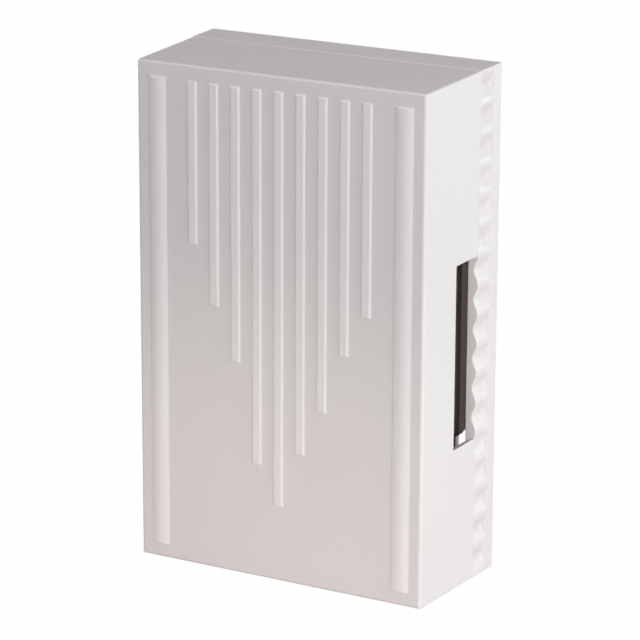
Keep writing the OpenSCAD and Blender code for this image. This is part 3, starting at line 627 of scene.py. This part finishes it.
def buildBase(setup):
    bm = cadForm("rear_base")
    lean = math.tan(math.radians(setup["draft"]))
    less = math.tan(math.radians(setup["straighten"]))
    first, depth, turns = setup["reedFrom"], setup["depth"], setup["wallTurns"]

    def onSide(v):
        return abs(v.co.x) > setup["sideFrom"]

    def onEnd(v):
        return abs(v.co.z) > setup["endFrom"]

    def near(v, d):
        return abs(-v.co.y - d) < setup["reedSlack"]

    # Depth of the reeds' outline below the crests, with rounded valleys
    def reed(z):
        u = abs((z / setup["reedPitch"]) % 1 - 0.5) * setup["reedPitch"]
        half, start, r = setup["reedPitch"] / 2, setup["valleyFrom"], setup["reedRound"]

        def arc(w):
            return r - math.sqrt(r * r - w * w)

        slope = start / math.sqrt(r * r - start * start)
        deepest = arc(start) + slope * (half - start) / 2
        if u > start:
            t = (u - start) / (half - start)
            return setup["reedDepth"] * (arc(start) + slope * (half - start) * (t - t * t / 2)) / deepest
        return setup["reedDepth"] * arc(u) / deepest

    # Depth and cut of the rings at a reed's end: rounded edge, straight wall, rounded corner, reed's floor
    def endWall(k, sunk):
        most = setup["wallShare"] * sunk
        outer, inner = min(setup["wallEdge"], most), min(setup["wallCorner"], most)
        if k <= turns:
            t = k / turns * math.pi / 2
            return first - outer * (1 - math.sin(t)), outer * (1 - math.cos(t))
        if k <= 2 * turns + 1:
            t = (k - turns - 1) / turns * math.pi / 2
            return first + inner * (1 - math.cos(t)), sunk - inner * (1 - math.sin(t))
        return depth, sunk

    reeds = [f for f in bm.faces
             if all(onSide(v) and (near(v, first) or near(v, depth)) for v in f.verts)
             and any(near(v, first) for v in f.verts) and any(near(v, depth) for v in f.verts)]
    behind = [f for f in bm.faces
              if all(onSide(v) and -v.co.y < first + setup["reedSlack"] for v in f.verts)]
    runs = list({e for f in reeds for e in f.edges if near(e.verts[0], first) != near(e.verts[1], first)})
    bmesh.ops.delete(bm, geom=behind, context="FACES")
    lastRing = 2 * turns + 2
    bmesh.ops.subdivide_edges(bm, edges=runs, cuts=lastRing - 1, use_grid_fill=True)
    foot = {-1: [], 1: []}
    for v in bm.verts:
        if onSide(v) and -v.co.y > first - setup["reedSlack"]:
            side = 1 if v.co.x > 0 else -1
            k = min(lastRing, max(0, round((-v.co.y - first) / (depth - first) * lastRing)))
            if onEnd(v):   # the rings meet in one point on the case's corner, so its edge rounds cleanly
                d, cut = (first, 0) if k < lastRing else (depth, setup["leastCut"])
            else:
                d, cut = endWall(k, max(setup["leastCut"], setup["crest"] + reed(v.co.z)))
            if k == 0 or onEnd(v) and k < lastRing:
                foot[side].append(v)
            v.co.x = side * (setup["halfW"] - d * (lean - less) - cut)
            v.co.y = -d
    for v in bm.verts:
        if onEnd(v):
            v.co.z = math.copysign(setup["halfH"] + v.co.y * (lean - less), v.co.z)
    for side in (-1, 1):   # the plain strip behind the reeds
        bmesh.ops.remove_doubles(bm, verts=foot[side], dist=setup["weld"])
        front = sorted((v for v in foot[side] if v.is_valid), key=lambda v: v.co.z)
        back = [v for v in bm.verts
                if v.co.x * side > setup["sideFrom"] and abs(v.co.y) < setup["backSlack"]]
        back.sort(key=lambda v: v.co.z)
        lowest, highest = back[0], back[-1]
        edge = next(e for e in lowest.link_edges if e.other_vert(lowest) is highest)
        rear = [lowest]
        for v in front[1:-1]:
            share = (v.co.z - rear[-1].co.z) / (highest.co.z - rear[-1].co.z)
            _, fresh = bmesh.utils.edge_split(edge, rear[-1], share)
            rear.append(fresh)
            edge = next(e for e in fresh.link_edges if e.other_vert(fresh) is highest)
        rear.append(highest)
        for k in range(len(front) - 1):
            bm.faces.new((front[k], front[k + 1], rear[k + 1], rear[k]))
    bmesh.ops.recalc_face_normals(bm, faces=bm.faces)

    # An outer edge of the tray: along the wall, along the parting or up a corner
    def onEdge(e):
        depths = [-v.co.y for v in e.verts]
        return (max(depths) < setup["edgeSlack"] or min(depths) > depth - setup["edgeSlack"]
                or all(onSide(v) and onEnd(v) for v in e.verts))

    rounded = [e for e in bm.edges
               if len(e.link_faces) == 2 and all(onSide(v) or onEnd(v) for v in e.verts) and onEdge(e)
               and e.calc_face_angle() > math.radians(setup["edgeAngle"])]
    roundEdges(bm, rounded, setup["edgeRound"], setup["edgeSteps"], False)
    bmesh.ops.dissolve_degenerate(bm, dist=setup["sliver"], edges=bm.edges)
    flaps = [f for f in bm.faces if sum(e.is_boundary for e in f.edges) > 1]   # slivers left at a corner
    bmesh.ops.delete(bm, geom=flaps, context="FACES")
    makePiece("rearBase", bm, "base", "rear_base", ["moulded ABS"], setup["bevel"])


buildBase(baseSetup)
print("base built")

# Pieces that keep their CAD form and gain soft edges
toneBar = {"body": "base", "slot": "dark_steel", "finish": ["oil-blackened steel", "rubbed steel edge"],
           "bevel": {"width": 0.3, "angle": 40, "material": 1}}
nylonPart = {"slot": "nylon", "finish": ["natural nylon"]}
brassPart = {"slot": "brass", "finish": ["drawn brass"]}
formSetup = {
    "highToneBar": {"node": "high_tone_bar", **toneBar},
    "lowToneBar": {"node": "low_tone_bar", **toneBar},
    "barGrommets": {"node": "bar_grommets", "body": "base", "slot": "grommet_rubber",
                    "finish": ["EPDM rubber"], "bevel": {"width": 0.35, "segments": 3}},
    "coilBobbin": {"node": "coil_bobbin", "body": "base", **nylonPart, "bevel": {"width": 0.25}},
    "guideTube": {"node": "guide_tube", "body": "base", **brassPart, "bevel": {"width": 0.12}},
    "plungerCore": {"node": "plunger_core", "body": "plunger", "slot": "zinc_steel",
                    "finish": ["zinc-plated steel"], "bevel": {"width": 0.3}},
    "lowStriker": {"node": "low_striker", "body": "plunger", **nylonPart, "bevel": {"width": 0.3}},
    "highStriker": {"node": "high_striker", "body": "plunger", **nylonPart, "bevel": {"width": 0.2}},
    "springWasher": {"node": "spring_washer", "body": "base", **nylonPart, "bevel": {"width": 0.15}},
    "terminalBlock": {"node": "terminal_block", "body": "base", **nylonPart, "bevel": {"width": 0.3}},
    "terminalClamps": {"node": "terminal_clamps", "body": "base", **brassPart, "bevel": {"width": 0.15}},
}
for name, setup in formSetup.items():
    makePiece(name, cadForm(setup["node"]), setup["body"], setup["node"], setup["finish"],
              setup["bevel"])
print("plain inner pieces built,", len(formSetup))

# Solenoid yoke: one strip of steel bent to a U, so the two outer bends are round
yokeSetup = {"bendX": 15.4, "bendDepth": 5.1, "bendRound": 1.4, "bendSteps": 6, "bevel": {"width": 0.2}}


def buildYoke(setup):
    bm = cadForm("solenoid_yoke")
    bends = [e for e in bm.edges
             if all(abs(v.co.x) > setup["bendX"] and -v.co.y < setup["bendDepth"] for v in e.verts)]
    roundEdges(bm, bends, setup["bendRound"], setup["bendSteps"])
    makePiece("solenoidYoke", bm, "base", "solenoid_yoke", ["zinc-plated steel"],
              setup["bevel"])


buildYoke(yokeSetup)

# Slotted screws: the CAD heads with their upper rim turned to a pan shape
screwSetup = {
    "yokeScrews": {"node": "yoke_screws", "at": ((0, 25.5), (0, -3.5)), "headRadius": 2.4, "pan": 0.6},
    "terminalScrews": {"node": "terminal_screws", "at": ((6, -40), (-6, -40)), "headRadius": 1.9,
                       "pan": 0.5},
    "terminalBlockScrew": {"node": "terminal_block_screw", "at": ((0, -40),), "headRadius": 2.4,
                           "pan": 0.6},
}
# How the heads' rims are told from the slots' edges, which are longer
screwHead = {"crownSlack": 0.01, "rimSlack": 0.03, "longestRim": 0.55, "panSteps": 5,
             "bevel": {"width": 0.06, "angle": 50}}


def buildScrews(name, setup, head):
    bm = cadForm(setup["node"])
    crown = min(v.co.y for v in bm.verts)

    def onRim(v):
        off = [abs(math.hypot(v.co.x - x, v.co.z - z) - setup["headRadius"]) for x, z in setup["at"]]
        return v.co.y < crown + head["crownSlack"] and min(off) < head["rimSlack"]

    rims = [e for e in bm.edges
            if all(onRim(v) for v in e.verts) and e.calc_length() < head["longestRim"]]
    roundEdges(bm, rims, setup["pan"], head["panSteps"])
    makePiece(name, bm, "base", setup["node"], ["zinc-plated steel"], head["bevel"])


for name, setup in screwSetup.items():
    buildScrews(name, setup, screwHead)
print("yoke and screws built")

strikeDepth, strikeHeight = 17.5, 11.0   # the line that the plunger slides along


# Ring of points about the strike line, at a radius and a place along it
def strikeRing(bm, radius, x, sides):
    out = []
    for k in range(sides):
        turn = 2 * math.pi * k / sides
        y, z = -strikeDepth + radius * math.cos(turn), strikeHeight + radius * math.sin(turn)
        out.append(bm.verts.new((x, y, z)))
    return out


def joinRings(bm, a, b, index=0):
    for k in range(len(a)):
        m = (k + 1) % len(a)
        bm.faces.new((a[k], a[m], b[m], b[k])).material_index = index


# Coil winding: wire turns show beyond the tape, each lying a little higher or lower than the next
# The wire is drawn at twice its real 0.2 mm so that single turns can be seen
windingSetup = {"inner": 5.15, "outer": 9.38, "half": 12.4, "tapeHalf": 9.3, "wireMm": 0.44, "sides": 72,
                "arcSteps": 5, "sink": 0.05, "sinkStep": 2.4, "sinkStart": 0.7}


def buildWinding(setup):
    bm = bmesh.new()
    wire, half = setup["wireMm"], setup["half"]
    count = int((half - setup["tapeHalf"]) / wire)
    start = half - count * wire
    turns = []
    for i in range(count):
        sink = setup["sink"] * (1 + math.sin(i * setup["sinkStep"] + setup["sinkStart"]))
        for k in range(setup["arcSteps"]):
            turn = math.pi * k / setup["arcSteps"]
            turns.append((setup["outer"] - sink - wire / 2 + wire / 2 * math.sin(turn),
                          start + wire * (i + 0.5) - wire / 2 * math.cos(turn)))
    profile = [(setup["inner"], -half)] + [(r, -x) for r, x in reversed(turns)]
    profile += turns + [(setup["outer"] - wire / 2, half), (setup["inner"], half)]
    rings = [strikeRing(bm, r, x, setup["sides"]) for r, x in profile]
    for a, b in zip(rings, rings[1:] + rings[:1]):
        joinRings(bm, a, b)
    makePiece("coilWinding", bm, "base", "coil_winding", ["enamelled copper wire"])


# Polyester tape: one wrap whose free end overlaps the start and shows a cut edge; its sides wander a little
tapeSetup = {"inner": 9.45, "thick": 0.16, "half": 9.45, "lapTurn": 34.0, "lapGap": 0.02, "riseTurn": 12.0,
             "sides": 96, "cutAt": 205.0, "sway": 0.05, "swayWaves": 3, "swayStart": 0.4,
             "bevel": {"width": 0.05, "segments": 1, "angle": 60}}


def buildTape(setup):
    bm = bmesh.new()
    thick, half, rows = setup["thick"], setup["half"], []
    total = 360.0 + setup["lapTurn"]
    count = int(setup["sides"] * total / 360)
    for k in range(count + 1):
        turn = total * k / count
        rise = min(1.0, max(0.0, (turn - 360.0 + setup["riseTurn"]) / setup["riseTurn"]))
        r = setup["inner"] + (thick + setup["lapGap"]) * rise * rise * (3 - 2 * rise)
        aim = math.radians(setup["cutAt"] + turn)
        c, w = math.cos(aim), math.sin(aim)
        sway = setup["sway"] * math.sin(aim * setup["swayWaves"] + setup["swayStart"])
        section = ((r, -half + sway), (r + thick, -half + sway), (r + thick, half + sway), (r, half + sway))
        rows.append([bm.verts.new((x, -strikeDepth + radius * c, strikeHeight + radius * w))
                     for radius, x in section])
    for a, b in zip(rows, rows[1:]):
        joinRings(bm, a, b)
    bm.faces.new(rows[0]), bm.faces.new(rows[-1])
    makePiece("coilTape", bm, "base", "coil_tape", ["polyester tape"], setup["bevel"])


buildWinding(windingSetup)
buildTape(tapeSetup)
print("coil wound and taped")


# Round tube along points in millimetres, with closed ends; a radius and an upward aim for each point
def sweepTube(bm, points, radii, sides, aims, index=0):
    rings = []
    for i, point in enumerate(points):
        heading = (points[min(i + 1, len(points) - 1)] - points[max(i - 1, 0)]).normalized()
        u = (aims[i] - heading * aims[i].dot(heading)).normalized()
        v = heading.cross(u)
        ring = []
        for k in range(sides):
            turn = 2 * math.pi * k / sides
            ring.append(bm.verts.new(point + radii[i] * (math.cos(turn) * u + math.sin(turn) * v)))
        rings.append(ring)
    for a, b in zip(rings, rings[1:]):
        joinRings(bm, a, b, index)
    bm.faces.new(rings[0]).material_index = index
    bm.faces.new(rings[-1]).material_index = index


# Return spring: music wire with close end turns and open turns between, so that it closes without binding
springSetup = {"from": -25.95, "pitches": (1.0, 2.3, 2.63, 2.3, 1.0), "radius": 4.6, "wire": 0.3,
               "stepsPerTurn": 40, "sides": 12, "holdPast": 1.5}


def buildSpring(setup):
    bm = bmesh.new()
    pitches, steps, count = setup["pitches"], setup["stepsPerTurn"], len(setup["pitches"])
    marks = [setup["from"]]
    for pitch in pitches:
        marks.append(marks[-1] + pitch)
    slopes = [2 * a * b / (a + b) for a, b in zip(pitches, pitches[1:])]
    slopes = [pitches[0]] + slopes + [pitches[-1]]

    # Place along the strike line after some turns, with the pitch changing smoothly
    def along(turns):
        k = min(int(turns), count - 1)
        t = turns - k
        h00, h10, h11 = 2 * t ** 3 - 3 * t ** 2 + 1, t ** 3 - 2 * t ** 2 + t, t ** 3 - t ** 2
        return h00 * marks[k] + h10 * slopes[k] + (1 - h00) * marks[k + 1] + h11 * slopes[k + 1]

    points, aims = [], []
    for i in range(steps * count + 1):
        turn = 2 * math.pi * i / steps
        aim = Vector((0, math.cos(turn), math.sin(turn)))
        points.append(Vector((along(i / steps), -strikeDepth, strikeHeight)) + setup["radius"] * aim)
        aims.append(aim)
    sweepTube(bm, points, [setup["wire"]] * len(points), setup["sides"], aims)
    spring = makePiece("returnSpring", bm, None, "return_spring", ["spring steel wire"])
    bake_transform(spring)


buildSpring(springSetup)

# Push-on clips: dished spring washers with six tongues that bite the pegs; a place is a side and a height
clipSetup = {"inside": 36.07, "thick": 0.3, "dish": 0.45, "outer": 3.2, "rimLand": 0.12, "root": 2.35,
             "rootLand": 0.25, "bite": 1.66, "tongues": 6, "tongueShare": 0.62, "stepsPerTongue": 12,
             "places": ((1, 33.08), (1, -11.08), (-1, 35.84), (-1, -13.84)),
             "bevel": {"width": 0.05, "segments": 1, "angle": 60}}


def buildClips(setup):
    bm = bmesh.new()
    perTongue, outer, root = setup["stepsPerTongue"], setup["outer"], setup["root"]
    steps = setup["tongues"] * perTongue
    for side, height in setup["places"]:
        faces = []
        for lift in (0.0, setup["thick"]):
            rows = []
            for k in range(steps):
                turn = 2 * math.pi * k / steps
                inTongue = (k % perTongue) / perTongue < setup["tongueShare"]
                inner = setup["bite"] if inTongue else root
                row = []
                for r in (inner, (inner + root + setup["rootLand"]) / 2, root + setup["rootLand"],
                          outer - setup["rimLand"], outer):
                    rise = setup["dish"] * (outer - r) / (outer - setup["bite"])
                    x = side * (setup["inside"] + lift + rise)
                    y, z = -strikeDepth + r * math.cos(turn), height + r * math.sin(turn)
                    row.append(bm.verts.new((x, y, z)))
                rows.append(row)
            faces.append(rows)
        under, over = faces
        for k in range(steps):
            m = (k + 1) % steps
            for a in range(len(under[k]) - 1):
                bm.faces.new((under[k][a], under[m][a], under[m][a + 1], under[k][a + 1]))
                bm.faces.new((over[k][a], over[k][a + 1], over[m][a + 1], over[m][a]))
            bm.faces.new((under[k][0], over[k][0], over[m][0], under[m][0]))
            bm.faces.new((under[k][-1], under[m][-1], over[m][-1], over[k][-1]))
    makePiece("grommetClips", bm, "base", "grommet_clips", ["zinc-plated steel"],
              setup["bevel"])


buildClips(clipSetup)
print("spring and clips built")

# Coil leads: PVC sleeve from the bobbin's lug down to the terminal, bare copper where it enters the clamp
leadSetup = {"top": (13.25, -13.0, -2.35), "topRun": 3.0, "low": (6.0, -8.7, -38.5), "lowRun": 6.0,
             "reach": 12.0, "sleeve": 0.7, "sleeveEdge": (0.06, 0.1), "core": 0.42, "coreTip": 0.08,
             "coreInside": 0.5, "strip": 4.9, "steps": 36, "sides": 14}


def buildLead(name, node, side, setup):
    top = Vector((side * setup["top"][0], *setup["top"][1:]))
    low = Vector((side * setup["low"][0], *setup["low"][1:]))
    down, reach = Vector((0, 0, -1)), Vector((0, 0, -setup["reach"]))
    a, d = top + down * setup["topRun"], low - down * setup["lowRun"]
    b, c = a + reach, d - reach
    route = [top, top + down * setup["topRun"] / 2]
    for i in range(setup["steps"] + 1):
        t = i / setup["steps"]
        route.append((1 - t) ** 3 * a + 3 * t * (1 - t) ** 2 * b + 3 * t * t * (1 - t) * c + t ** 3 * d)
    stripped = low - down * setup["strip"]
    edgeRun, edgeIn = setup["sleeveEdge"]
    route += [stripped - down * edgeRun, stripped]
    sleeve = [setup["sleeve"]] * (len(route) - 1) + [setup["sleeve"] - edgeIn]
    inside, tip = down * setup["coreInside"], setup["coreTip"]
    wire = [stripped - inside, stripped + inside, (stripped + low) / 2, low - down * tip, low]
    core = [setup["core"]] * (len(wire) - 1) + [setup["core"] - tip]
    outward = Vector((0, 1, 0))
    bm = bmesh.new()
    sweepTube(bm, route, sleeve, setup["sides"], [outward] * len(route))
    sweepTube(bm, wire, core, setup["sides"], [outward] * len(wire), 1)
    makePiece(name, bm, "base", node, ["PVC sleeve", "bare copper"])


buildLead("coilLeadLeft", "coil_lead_left", -1, leadSetup)
buildLead("coilLeadRight", "coil_lead_right", 1, leadSetup)
print("leads laid")
